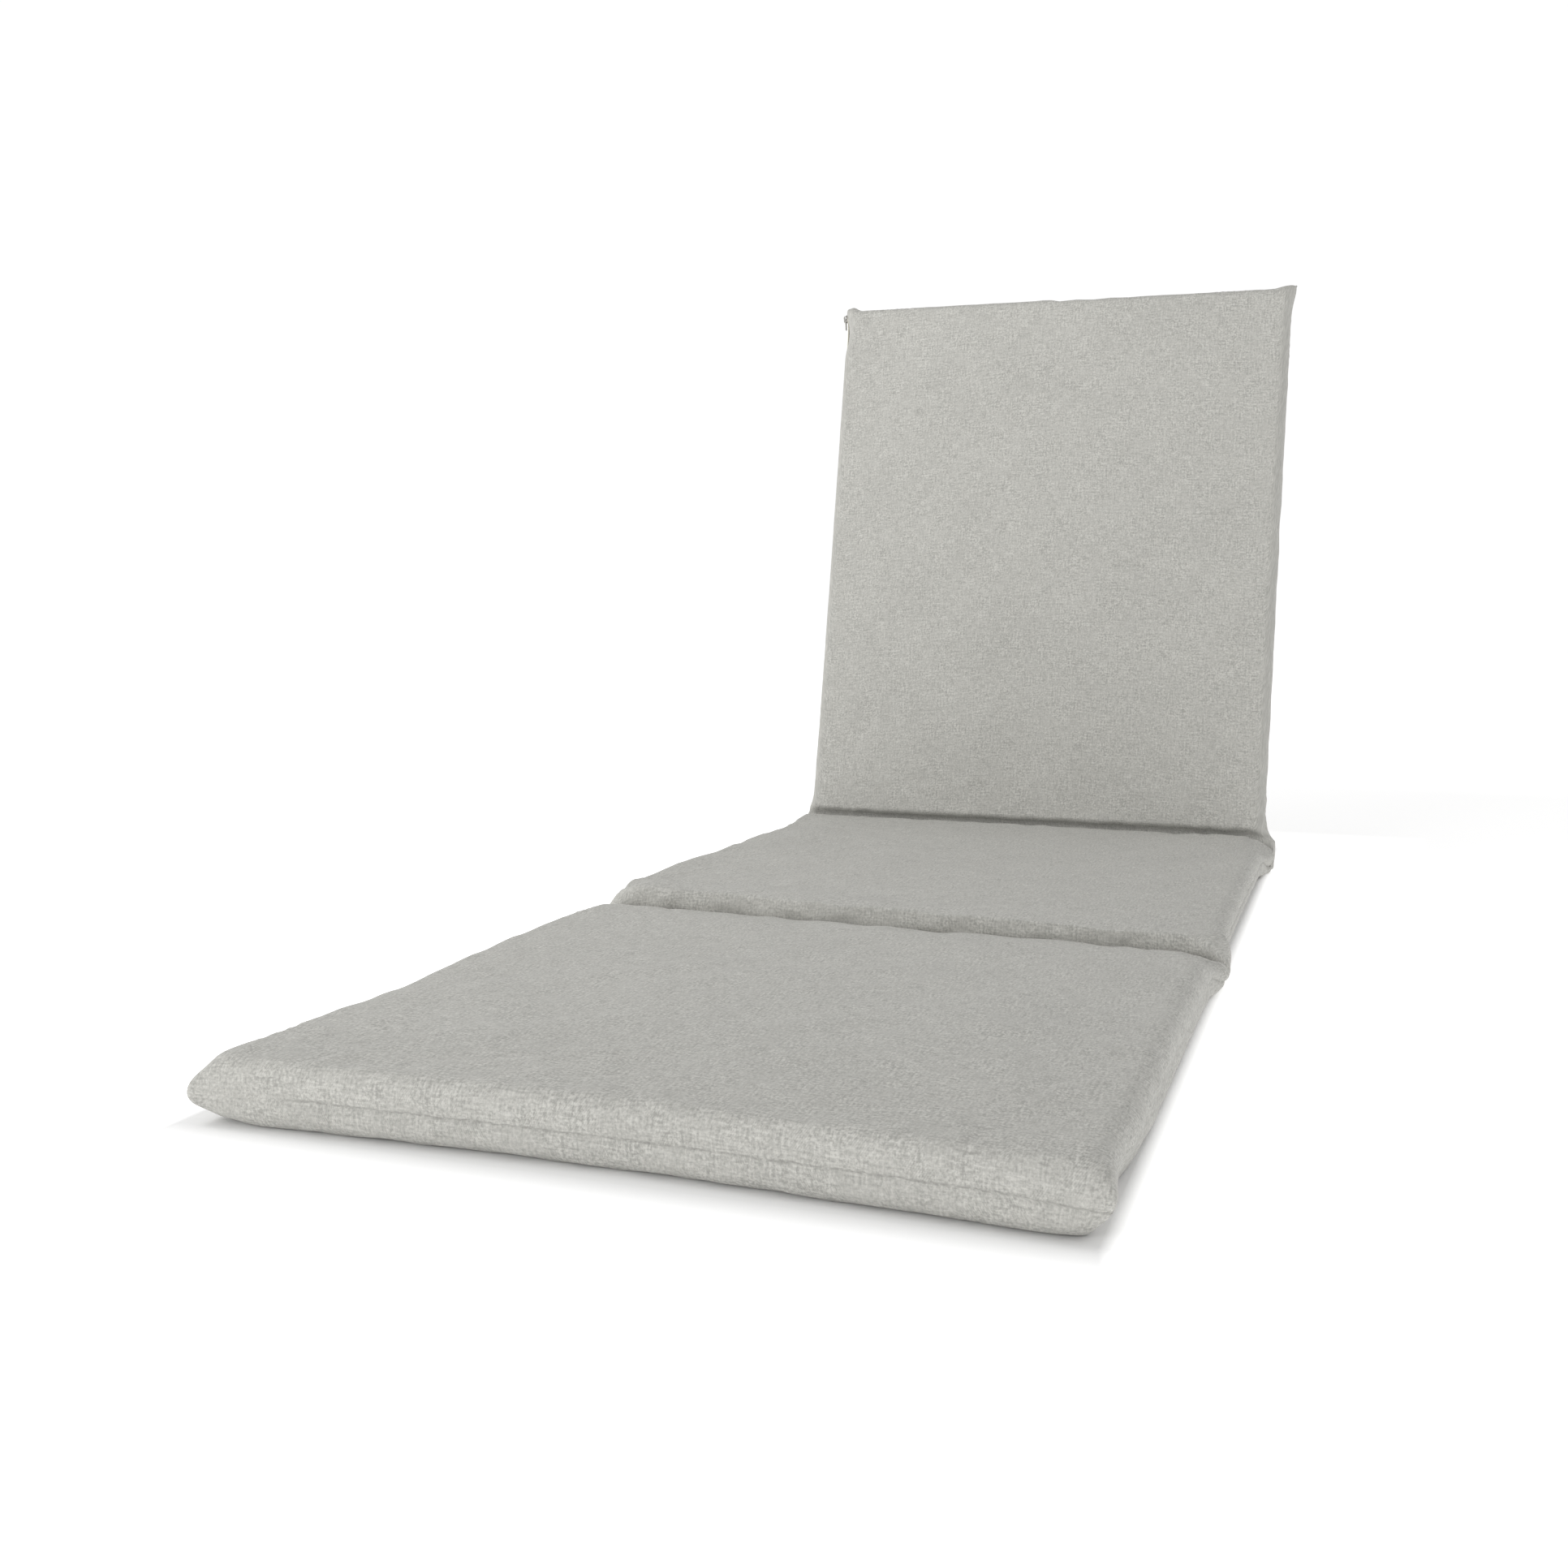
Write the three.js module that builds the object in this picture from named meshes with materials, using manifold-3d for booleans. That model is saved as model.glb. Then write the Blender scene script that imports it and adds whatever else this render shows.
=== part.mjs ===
// Sun lounger cushion: a soft three-part cushion whose foot and seat sections lie flat and whose back
// section stands up and leans back. Millimetres, +Z up, the foot end towards -Y, +X to the right of
// someone who looks at the foot end. The origin is on the floor under the middle of the cushion.
import * as THREE from 'three';
import { mergeVertices } from 'three/addons/utils/BufferGeometryUtils.js';
import Module from 'manifold-3d';

const wasm = await Module();
wasm.setup();

// Driving dimensions
const THICKNESS = 46;        // filled section, top to underside
const HALF_SHEETS = 1.5;     // half the thickness of the two panels where they are stitched together
const FOOT_END_Y = -710;     // tips of the foot ears
const LEAN = 11.7;           // back section, degrees back from upright
const SIDE_SEAM = THICKNESS / 2;
const SIDE_REACH = 12;       // how far in from the side seam the cover reaches its full height
const SIDE_ROUNDNESS = 3;    // 2 is a round edge, more is squarer
const EDGE_ZONE = 95;        // strip beside every seam that has close steps
const RISE_STEPS = 5;        // steps up a rounded edge
const ZONE_STEPS = [0.12, 0.27, 0.46, 0.7, 1];
const FLAT_STEPS_ALONG = 4;
const FLAT_STEPS_ACROSS = 4;
const GAP = 0.3;             // between pieces that touch

// The three sections: distance between the seams at their two ends, how far the left and right sides
// are from the middle line between the ears, how much they are drawn in half way along, and how much
// the sitting side is crowned
const SECTIONS = [
  { name: 'foot', length: 607, sides: [290, 298], drawn: 1.5, crown: 2 },
  { name: 'seat', length: 624, sides: [298, 297], drawn: 2, crown: 2 },
  { name: 'back', length: 742, sides: [296, 294], drawn: 1, crown: 2 },
];

// The ends of the sections, in order. seam is the seam's height above the underside, reach is how far
// from the seam the cover gets to its full height and roundness how square that edge is, corner is how
// much longer the reach is at an ear. out is how far an ear stands out sideways at the left and the
// right, hold and fade how far along the side it keeps and loses that, and tip how far the ears stand
// out past the drawn-in end seam. lift is how much higher the sitting side is there, at the left, in the
// middle and at the right.
const ENDS = [
  { at: 'foot start', seam: 20, reach: 11, roundness: 3, corner: 17, sheets: 0,
    out: [11, 3], hold: 0, fade: 60, tip: [8, 4], lift: [0, 0, 0] },
  { at: 'foot end', seam: 8, reach: 30, roundness: 2.3, corner: 0, sheets: HALF_SHEETS,
    out: [14, 8], hold: 4, fade: 60, tip: [0, 0], lift: [-4.5, -7, -10] },
  { at: 'seat start', seam: 8, reach: 14, roundness: 3.6, corner: 0, sheets: HALF_SHEETS,
    out: [6, 9], hold: 26, fade: 60, tip: [0, 0], lift: [8, 5.6, 0] },
  { at: 'seat end', seam: 8, reach: 13, roundness: 2.8, corner: 0, sheets: HALF_SHEETS,
    out: [7, 10], hold: 4, fade: 80, tip: [0, 0], lift: [0, 0, 0] },
  { at: 'back start', seam: 42, reach: 12, roundness: 2.8, corner: 0, sheets: HALF_SHEETS,
    out: [9, 13], hold: 34, fade: 36, tip: [0, 0], lift: [0, 0, 0] },
  { at: 'back end', seam: 23, reach: 11, roundness: 3, corner: 8, sheets: 0,
    out: [4, 6], hold: 0, fade: 45, tip: [3.5, 7], lift: [0, 0, 0] },
];
const SEAM_SETTLES = 60;     // distance in which the side seam gets from an end's level to half height
const LIFT_KEEPS = 28;       // how far from an end the sitting side keeps its lift, and then loses it
const LIFT_FADES = 85;

// The back section's front face is set in at its foot, where it stands behind the seat section
const SET_IN = 7;
const SET_IN_UP_TO = 40;
const SET_IN_REACH = 16;

// Zip in the left side seam of the back section, measured along it from the head end
const TAPE = { from: 4, to: 600, width: 13, thickness: 1 };
const CHAIN = { from: 5, to: 598, width: 4.6, thickness: 1 };
const STRIP_STEPS = 24;
const STRIP_CROWDING = 1.8;  // more than 1 sets the strips' steps closer together beside the ear
const SLIDER = {
  from: 5.5, length: 11.5, width: 7, plate: 1.2, opening: 3.2, bar: 1, bridge: 2.2, leg: 1.5, inset: 1,
};
const PULL = { from: 10.5, length: 17, width: 5.6, thickness: 1.1, arm: 1.45, hole: 8.5 };

const FABRIC = { color: 0xb3b2ac, roughness: 0.95, metalness: 0 };
const TAPE_CLOTH = { color: 0xe9e4d6, roughness: 0.9, metalness: 0 };
const METAL = { color: 0x8f8d88, roughness: 0.35, metalness: 1 };

const clamp01 = (t) => Math.min(1, Math.max(0, t));
const smooth = (t) => clamp01(t) ** 2 * (3 - 2 * clamp01(t));
const fall = (t) => (1 - clamp01(t)) ** 2;
const lerp = (a, b, t) => a + (b - a) * t;

const STEPS_ALONG = 2 * (RISE_STEPS + ZONE_STEPS.length) + FLAT_STEPS_ALONG;
const STEPS_ACROSS = 2 * (RISE_STEPS + ZONE_STEPS.length) + FLAT_STEPS_ACROSS;

// One step of the way from one edge of a section to the other: how far in from the first edge it is,
// and how much of the full height the cover has there. Each edge has a reach and a roundness.
function stepInFromEdge(step, edge) {
  if (step <= RISE_STEPS) {
    const angle = (Math.PI / 2) * (step / RISE_STEPS);
    const power = 2 / edge.roundness;
    // The cosine of a right angle isn't quite zero, so the last step is given as it is
    const short = step === RISE_STEPS ? 0 : Math.cos(angle) ** power;
    return { at: edge.reach * (1 - short), rise: Math.sin(angle) ** power };
  }
  const part = ZONE_STEPS[step - RISE_STEPS - 1];
  return { at: lerp(edge.reach, EDGE_ZONE, part), rise: 1 };
}

function stepAcross(step, steps, span, first, last) {
  const edgeSteps = RISE_STEPS + ZONE_STEPS.length;
  if (step <= edgeSteps) return stepInFromEdge(step, first);
  if (step >= steps - edgeSteps) {
    const { at, rise } = stepInFromEdge(steps - step, last);
    return { at: span - at, rise };
  }
  const part = (step - edgeSteps) / (steps - 2 * edgeSteps);
  return { at: lerp(EDGE_ZONE, span - EDGE_ZONE, part), rise: 1 };
}

// How far the side seam stands out sideways at a distance from one end, on the left (0) or right (1)
const earOut = (end, distance, side) => end.out[side] * fall((distance - end.hold) / end.fade);

// How far the end seam is drawn in from the tip of the ear, at a distance from the side
function endDrawn(end, fromSide, side) {
  const fromTip = fall(fromSide / (0.5 * EDGE_ZONE));
  return end.tip[side] * (1 - fromTip);
}

// How far the side seam is from the middle line at a distance along a section, on one side. Both
// sections at a fold have the same width where they are stitched together.
function sideAt(index, along, side) {
  const section = SECTIONS[index];
  const [start, end] = [ENDS[2 * index], ENDS[2 * index + 1]];
  const middle = 1 - (2 * along / section.length - 1) ** 2;
  return section.sides[side] - section.drawn * middle
    + earOut(start, along, side) + earOut(end, section.length - along, side);
}

// How much an end lifts the sitting side, at a distance from it and at a share of the width
function liftAt(end, distance, part) {
  const [left, middle, right] = end.lift;
  const curve = left * (1 - part) * (1 - 2 * part) + middle * 4 * part * (1 - part)
    + right * part * (2 * part - 1);
  return curve * fall((distance - LIFT_KEEPS) / LIFT_FADES);
}

// Level of the side seam in the thickness
function seamLevel(index, along) {
  const { length } = SECTIONS[index];
  const fromStart = lerp(ENDS[2 * index].seam, SIDE_SEAM, smooth(along / SEAM_SETTLES));
  const fromEnd = lerp(ENDS[2 * index + 1].seam, SIDE_SEAM, smooth((length - along) / SEAM_SETTLES));
  return along < length / 2 ? fromStart : fromEnd;
}

// Where the start of each section is, which way it runs and which way its sitting side faces
function sectionFrames() {
  const lean = THREE.MathUtils.degToRad(LEAN);
  const ahead = new THREE.Vector3(0, 1, 0);
  const up = new THREE.Vector3(0, 0, 1);
  const backAhead = new THREE.Vector3(0, Math.sin(lean), Math.cos(lean));
  const backUp = new THREE.Vector3(0, -Math.cos(lean), Math.sin(lean));
  const foldY = FOOT_END_Y + SECTIONS[0].length;
  const backFold = new THREE.Vector3(0, foldY + SECTIONS[1].length, ENDS[3].seam);
  return [
    { origin: new THREE.Vector3(0, FOOT_END_Y, 0), ahead, up },
    { origin: new THREE.Vector3(0, foldY, 0), ahead, up },
    { origin: backFold.addScaledVector(backUp, -ENDS[4].seam), ahead: backAhead, up: backUp },
  ];
}
const FRAMES = sectionFrames();

function placeIn(index, x, along, level) {
  const { origin, ahead, up } = FRAMES[index];
  return origin.clone().addScaledVector(ahead, along).addScaledVector(up, level).setX(x);
}

// A point of the cover. row and column count steps along and across a section, and face is 1 on the
// sitting side and 0 on the underside.
function coverPoint(index, row, column, face) {
  const section = SECTIONS[index];
  const [start, end] = [ENDS[2 * index], ENDS[2 * index + 1]];
  const side = column < STEPS_ACROSS / 2 ? 0 : 1;
  const sideEdge = { reach: SIDE_REACH, roundness: SIDE_ROUNDNESS };
  const width = section.sides[0] + section.sides[1];
  const across = stepAcross(column, STEPS_ACROSS, width, sideEdge, sideEdge);
  const fromSide = Math.min(across.at, width - across.at);

  // Near an ear both edges rise over a longer reach and are rounder
  const softened = (edge, distance, by) => {
    const near = fall(distance / EDGE_ZONE * 2);
    return { reach: edge.reach + by * near, roundness: lerp(edge.roundness, 2, by > 0 ? near : 0) };
  };
  const length = section.length - endDrawn(start, fromSide, side) - endDrawn(end, fromSide, side);
  const rowStep = stepAcross(row, STEPS_ALONG, length,
    softened(start, fromSide, start.corner), softened(end, fromSide, end.corner));
  const along = endDrawn(start, fromSide, side) + rowStep.at;
  const nearStart = softened(sideEdge, along, start.corner);
  const nearEnd = softened(sideEdge, section.length - along, end.corner);
  const edge = along < section.length / 2 ? nearStart : nearEnd;
  const left = sideAt(index, along, 0);
  const span = left + sideAt(index, along, 1);
  const columnStep = stepAcross(column, STEPS_ACROSS, span, edge, edge);
  const x = columnStep.at - left;

  const rise = rowStep.rise * columnStep.rise;
  const seam = seamLevel(index, along);
  const atSheets = (1 - rowStep.rise) * (row < STEPS_ALONG / 2 ? start.sheets : end.sheets);
  const sheets = atSheets * columnStep.rise;
  if (face === 0) return placeIn(index, x, along, seam * (1 - rise) - sheets);

  const crown = section.crown * (1 - (2 * columnStep.at / span - 1) ** 2)
    * (1 - (2 * along / section.length - 1) ** 2);
  const setIn = index === 2 ? SET_IN * fall((along - SET_IN_UP_TO) / SET_IN_REACH) : 0;
  const part = columnStep.at / span;
  const lift = liftAt(start, along, part) + liftAt(end, section.length - along, part);
  const top = THICKNESS + crown + lift - setIn;
  return placeIn(index, x, along, lerp(seam, top, rise) + sheets);
}

// Every row of points of one face, from the foot end to the head end
function coverRows(face) {
  const rows = [];
  SECTIONS.forEach((section, index) => {
    const firstRow = index === 0 ? 0 : 1;
    for (let row = firstRow; row <= STEPS_ALONG; row += 1) {
      const points = [];
      for (let column = 0; column <= STEPS_ACROSS; column += 1) {
        points.push(coverPoint(index, row, column, face));
      }
      rows.push(points);
    }
  });
  return rows;
}

function pushQuad(positions, a, b, c, d) {
  for (const p of [a, b, c, a, c, d]) positions.push(p.x, p.y, p.z);
}

// Closed geometry from loose triangles whose corners meet
function closedGeometry(positions) {
  const geometry = new THREE.BufferGeometry();
  geometry.setAttribute('position', new THREE.Float32BufferAttribute(positions, 3));
  const merged = mergeVertices(geometry, 1e-3);
  merged.computeVertexNormals();
  return merged;
}

function cushionGeometry() {
  const top = coverRows(1);
  const under = coverRows(0);
  const positions = [];
  for (let r = 0; r < top.length - 1; r += 1) {
    for (let c = 0; c < STEPS_ACROSS; c += 1) {
      pushQuad(positions, top[r][c], top[r][c + 1], top[r + 1][c + 1], top[r + 1][c]);
      pushQuad(positions, under[r][c], under[r + 1][c], under[r + 1][c + 1], under[r][c + 1]);
    }
  }
  return closedGeometry(positions);
}

// A place beside the zip: fromHead along the back section's left side, out from the side seam, and
// across the thickness from the seam
function zipPoint(fromHead, out, acrossSeam) {
  const along = SECTIONS[2].length - fromHead;
  const x = -sideAt(2, along, 0) - out;
  return placeIn(2, x, along, seamLevel(2, along) + acrossSeam);
}

// A flat strip that follows the side seam
function stripGeometry(strip, outFrom) {
  const rings = [];
  for (let step = 0; step <= STRIP_STEPS; step += 1) {
    const fromHead = lerp(strip.from, strip.to, (step / STRIP_STEPS) ** STRIP_CROWDING);
    const corners = [[0, -1], [1, -1], [1, 1], [0, 1]];
    rings.push(corners.map(([far, edge]) =>
      zipPoint(fromHead, outFrom + far * strip.thickness, edge * strip.width / 2)));
  }
  const positions = [];
  for (let r = 0; r < rings.length - 1; r += 1) {
    for (let c = 0; c < 4; c += 1) {
      const next = (c + 1) % 4;
      pushQuad(positions, rings[r][c], rings[r + 1][c], rings[r + 1][next], rings[r][next]);
    }
  }
  const first = rings[0];
  const last = rings[rings.length - 1];
  pushQuad(positions, first[0], first[1], first[2], first[3]);
  pushQuad(positions, last[3], last[2], last[1], last[0]);
  return closedGeometry(positions);
}

// Turns a shape's own axes into the zip's: x down along the seam, y out from it, z across the seam
function zipPlacement(fromHead, out) {
  const origin = zipPoint(fromHead, out, 0);
  const down = zipPoint(fromHead + 10, out, 0).sub(origin).normalize();
  const acrossSeam = FRAMES[2].up.clone().negate();
  const outward = new THREE.Vector3().crossVectors(acrossSeam, down).normalize();
  return new THREE.Matrix4().makeBasis(down, outward, acrossSeam).setPosition(origin);
}

function extruded(shape, depth) {
  const geometry = new THREE.ExtrudeGeometry(shape, { depth, bevelEnabled: false, curveSegments: 8 });
  geometry.translate(0, 0, -depth / 2);
  return geometry;
}

// A solid for joining, from a closed geometry
function toSolid(geometry) {
  const bare = geometry.clone();
  bare.deleteAttribute('normal');
  bare.deleteAttribute('uv');
  const merged = mergeVertices(bare, 1e-4);
  return new wasm.Manifold(new wasm.Mesh({
    numProp: 3,
    vertProperties: new Float32Array(merged.attributes.position.array),
    triVerts: new Uint32Array(merged.index.array),
  }));
}

function fromSolid(solid) {
  const mesh = solid.getMesh();
  const geometry = new THREE.BufferGeometry();
  geometry.setAttribute('position', new THREE.BufferAttribute(mesh.vertProperties, 3));
  geometry.setIndex(new THREE.BufferAttribute(mesh.triVerts, 1));
  geometry.computeVertexNormals();
  return geometry;
}

// Slider plate, seen from outside: wide at the head end and narrower where it leaves the chain
function sliderPlateGeometry() {
  const { length, width, plate } = SLIDER;
  const wide = width / 2;
  const narrow = wide - 1;
  const shape = new THREE.Shape();
  shape.moveTo(wide, -wide);
  shape.lineTo(length - narrow, -narrow);
  shape.absarc(length - narrow, 0, narrow, -Math.PI / 2, Math.PI / 2, false);
  shape.lineTo(wide, wide);
  shape.absarc(wide, 0, wide, Math.PI / 2, 1.5 * Math.PI, false);
  const geometry = extruded(shape, plate);
  geometry.rotateX(-Math.PI / 2);
  geometry.translate(0, plate / 2, 0);
  return geometry;
}

// Slider bridge, seen from the side of the zip: two legs and a bar that the pull hangs on
function sliderBridgeGeometry() {
  const { length, plate, opening, bar, leg, bridge, inset } = SLIDER;
  const foot = plate / 2;
  const under = plate + opening;
  const top = under + bar;
  const shape = new THREE.Shape();
  shape.moveTo(inset, foot);
  shape.lineTo(inset + leg, foot);
  shape.lineTo(inset + leg, under);
  shape.lineTo(length - inset - leg, under);
  shape.lineTo(length - inset - leg, foot);
  shape.lineTo(length - inset, foot);
  shape.lineTo(length - inset, under);
  shape.lineTo(length - inset - bar, top);
  shape.lineTo(inset + bar, top);
  shape.lineTo(inset, under);
  shape.closePath();
  return extruded(shape, bridge);
}

function sliderGeometry() {
  return fromSolid(toSolid(sliderPlateGeometry()).add(toSolid(sliderBridgeGeometry())));
}

// Pull: a flat loop that hangs from the bridge and widens into a tab
function pullGeometry() {
  const { length, width, arm, hole } = PULL;
  const half = width / 2;
  const shape = new THREE.Shape();
  shape.moveTo(0, -half);
  shape.lineTo(length - half, -half);
  shape.absarc(length - half, 0, half, -Math.PI / 2, Math.PI / 2, false);
  shape.lineTo(0, half);
  shape.closePath();
  const eye = new THREE.Path();
  eye.moveTo(arm, -half + arm);
  eye.lineTo(arm, half - arm);
  eye.lineTo(arm + hole, half - arm);
  eye.lineTo(arm + hole, -half + arm);
  eye.closePath();
  shape.holes.push(eye);
  const geometry = extruded(shape, PULL.thickness);
  geometry.rotateX(-Math.PI / 2);
  return geometry;
}

function addPiece(group, name, geometry, finish) {
  const mesh = new THREE.Mesh(geometry, new THREE.MeshStandardMaterial(finish));
  mesh.name = name;
  group.add(mesh);
  return mesh;
}

const chainOut = GAP + TAPE.thickness + GAP;
const sliderOut = chainOut + CHAIN.thickness + GAP;

const cushion = new THREE.Group();
addPiece(cushion, 'cushion', cushionGeometry(), FABRIC);
addPiece(cushion, 'zip_tape', stripGeometry(TAPE, GAP), TAPE_CLOTH);
addPiece(cushion, 'zip_chain', stripGeometry(CHAIN, chainOut), METAL);
addPiece(cushion, 'zip_slider', sliderGeometry(), METAL)
  .applyMatrix4(zipPlacement(SLIDER.from, sliderOut));
addPiece(cushion, 'zip_pull', pullGeometry(), METAL)
  .applyMatrix4(zipPlacement(PULL.from, sliderOut + SLIDER.plate + 0.5 * SLIDER.opening));

export default cushion;
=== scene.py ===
"""Looks of the sun lounger cushion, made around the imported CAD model.

Lengths in the tables are in millimetres, +Z up, the foot end towards -Y. Meshes are worked out in
millimetres and scaled to metres when they become Blender objects.
"""
import math

import bmesh
import bpy
import numpy as np
from mathutils import Matrix, Vector
from mathutils.geometry import tessellate_polygon


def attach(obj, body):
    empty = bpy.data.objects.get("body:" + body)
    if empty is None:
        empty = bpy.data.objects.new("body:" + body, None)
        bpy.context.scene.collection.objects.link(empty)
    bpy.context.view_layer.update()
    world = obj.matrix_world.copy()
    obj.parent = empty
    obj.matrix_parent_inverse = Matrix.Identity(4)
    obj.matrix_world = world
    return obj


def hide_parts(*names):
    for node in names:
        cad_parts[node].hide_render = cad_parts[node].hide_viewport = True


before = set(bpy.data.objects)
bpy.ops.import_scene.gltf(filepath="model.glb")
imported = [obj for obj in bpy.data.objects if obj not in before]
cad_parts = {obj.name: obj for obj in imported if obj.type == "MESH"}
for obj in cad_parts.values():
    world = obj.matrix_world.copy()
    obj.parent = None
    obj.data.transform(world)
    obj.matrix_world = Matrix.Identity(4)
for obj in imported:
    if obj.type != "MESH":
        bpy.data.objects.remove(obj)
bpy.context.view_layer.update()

MM = 0.001
BODY = "root"

# Camera of the photograph: place in metres, angles in radians, focal length in pixels of the photo
CAMERA_PLACE = (0.4208, -1.5572, 0.3505)
CAMERA_YAW = -0.348
CAMERA_PITCH = -0.120
CAMERA_ROLL = 0.003
CAMERA_FOCAL = 2026.7
PHOTO_WIDTH = 1932
SENSOR_WIDTH = 36.0


def make_camera():
    sin_yaw, cos_yaw = math.sin(CAMERA_YAW), math.cos(CAMERA_YAW)
    sin_pitch, cos_pitch = math.sin(CAMERA_PITCH), math.cos(CAMERA_PITCH)
    forward = Vector((sin_yaw * cos_pitch, cos_yaw * cos_pitch, sin_pitch))
    level = Vector((cos_yaw, -sin_yaw, 0))
    above = level.cross(forward)
    right = level * math.cos(CAMERA_ROLL) + above * math.sin(CAMERA_ROLL)
    up = above * math.cos(CAMERA_ROLL) - level * math.sin(CAMERA_ROLL)
    data = bpy.data.cameras.new("Camera")
    data.sensor_fit = "HORIZONTAL"
    data.sensor_width = SENSOR_WIDTH
    data.lens = CAMERA_FOCAL / PHOTO_WIDTH * SENSOR_WIDTH
    data.clip_start = 0.05
    data.clip_end = 50
    camera = bpy.data.objects.new("Camera", data)
    bpy.context.scene.collection.objects.link(camera)
    turn = Matrix((right, up, -forward)).transposed().to_4x4()
    camera.matrix_world = Matrix.Translation(CAMERA_PLACE) @ turn
    bpy.context.scene.camera = camera


make_camera()

# The cushion's shape, with the CAD model's names and sizes and closer steps
THICKNESS = 46
HALF_SHEETS = 1.5
FOOT_END_Y = -710
LEAN = 11.7
SIDE_SEAM = THICKNESS / 2
SIDE_EDGE = (12, 3)          # reach and roundness of the edge between a face and a side seam
EDGE_ZONE = 95
SEAM_SETTLES = 60
SET_IN, SET_IN_UP_TO, SET_IN_REACH = 12, 42, 5  # hollow at the foot of the back section's front face

RISE_STEPS = 14
RISE_CROWDING = 1.5          # more than 1 sets the first steps beside a seam closer together
ZONE_STEPS = 26
ZONE_CROWDING = 1.25
FLAT_STEPS_ALONG = 36
FLAT_STEPS_ACROSS = 36
EDGE_STEPS = RISE_STEPS + ZONE_STEPS
ROWS = 2 * EDGE_STEPS + FLAT_STEPS_ALONG
COLUMNS = 2 * EDGE_STEPS + FLAT_STEPS_ACROSS

# sides is the distance of the left and right side seam from the middle line, drawn how far both are drawn in
# halfway. edges is the reach and roundness of the sitting side's left and right edge, under_edges the same
# of the underside. start_lift and end_lift raise the sitting side near a fold, at its left, middle and right.
SECTIONS = [
    {"name": "foot", "length": 607, "sides": (290, 298), "drawn": 1.5, "crown": 2,
     "edges": ((14, 2.8), (16, 2.5)), "under_edges": ((12, 3), (13, 2.6)),
     "start_lift": (0, 0, 0), "end_lift": (-4.5, -7, -10)},
    {"name": "seat", "length": 624, "sides": (300, 297), "drawn": 2, "crown": 2,
     "edges": ((11, 3.2), (14, 2.4)), "under_edges": ((12, 3), (22, 2)),
     "start_lift": (11.5, 5.6, 0.5), "end_lift": (0, 0, 0)},
    {"name": "back", "length": 742, "sides": (296, 291.5), "drawn": 1, "crown": 2,
     "edges": ((12, 3), (12, 3)), "under_edges": ((12, 3), (12, 3)),
     "start_lift": (0, 0, 0), "end_lift": (0, 0, 0)},
]
LIFT_KEEPS, LIFT_FADES = 28, 85  # how far from the fold a lift is whole, and how far on it fades
# The left and right side edges that both sections have at a fold, and how far from it they differ again
FOLD_EDGES = [
    {"edges": ((12, 3), (15, 2.3)), "settles": (60, 60)},
    {"edges": ((12, 3), (13, 2.6)), "settles": (60, 22)},
]
# What most ends share. corner is how much longer the edge gets at the left and the right ear, sheets half the
# thickness of the cover where it is sewn flat, tip how far the ears stand out past the end seam, tip_hold and
# tip_reach over which width they do, and bow how far the end is drawn in between them.
PLAIN_END = {"corner": (0, 0), "sheets": HALF_SHEETS, "tip": (0, 0), "tip_hold": (0, 0),
             "tip_reach": (47, 47), "bow": 0}
# seam is the height of the end seam, edge the reach and roundness of the sitting side, under the same of the
# underside, out how far the ears stand out at the left and the right, hold and fade over which length.
ENDS = [PLAIN_END | row for row in (
    {"at": "foot start", "seam": 20, "edge": (11, 3), "under": (15, 2.6),
     "out": (11, 4.5), "hold": 0, "fade": 60, "corner": (17, 8), "sheets": 0, "bow": 11},
    {"at": "foot end", "seam": 8, "edge": (30, 2.3), "under": (30, 2.3),
     "out": (14, 8), "hold": 4, "fade": 60},
    {"at": "seat start", "seam": 8, "edge": (9, 7), "under": (24, 2.4),
     "out": (6, 9), "hold": 26, "fade": 60, "corner": (14, 6)},
    {"at": "seat end", "seam": 8, "edge": (7, 4.5), "under": (13, 2.8),
     "out": (7, 8), "hold": 4, "fade": 80},
    {"at": "back start", "seam": 42, "edge": (12, 2.8), "under": (12, 2.8),
     "out": (9, 13.5), "hold": 34, "fade": 36},
    {"at": "back end", "seam": 23, "edge": (11, 3), "under": (11, 3),
     "out": (4, 6), "hold": 0, "fade": 45, "corner": (6, 8), "sheets": 0,
     "tip": (6.5, 8), "tip_hold": (7, 0), "tip_reach": (13, 26)},
)]
BOW_POWER = 1.3              # how an end is drawn in between its ears: 1 is pointed, 2 an arc
EAR_SOFTENS = 12             # longer reach at an ear from which its edge is as round as a circle
FRONT_SEAM_LIFT = 3.4        # how much higher the foot end's seam is between its ears
BLUNT_EAR = {"at": (-301, -710, 20), "reach": 46, "power": 0.55}
HIDDEN_SEAM = {"reach": 60, "from": -250, "fade": 40}  # the seam is hardly seen round the blunt ear
# The same along the foot section's right side
PLAIN_SIDE = {"from": 30, "to": 520, "fade": 50, "share": 0.85}

# Padding and sewing
LOBE = 1.6                   # how far the cover bulges between a seam and the edge of the filling
LOBE_POWER = 1.6             # more than 1 keeps the bulge away from the seam
PLAIN_LOBE = 0.4             # share of the bulge where the seam is hardly seen
GROOVE, GROOVE_WIDTH = 0.8, 1.7
SEAM_PUCKER, SEAM_PUCKER_REACH, SEAM_PUCKER_PITCH = 0.32, 9, 20
FOLD_PUCKER, FOLD_PUCKER_REACH, FOLD_PUCKER_PITCH = 0.9, 26, 34
FOLD_SEWN = 6                # distance from a fold in which its puckers start
SEEDS = {"seam": 3, "fold": 5, "slack": 11}
HEAD_RIDGE = 0.9             # how far the seam allowance stands proud along the head end
SLACK = ((0.3, 80), (0.2, 33))  # height and pitch of the cover's soft unevenness
SLACK_FROM, SLACK_REACH = 4, 30  # how far from a seam it starts and is whole
FLAT_FACE = 0.97             # share of the full height from which the underside counts as resting
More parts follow.
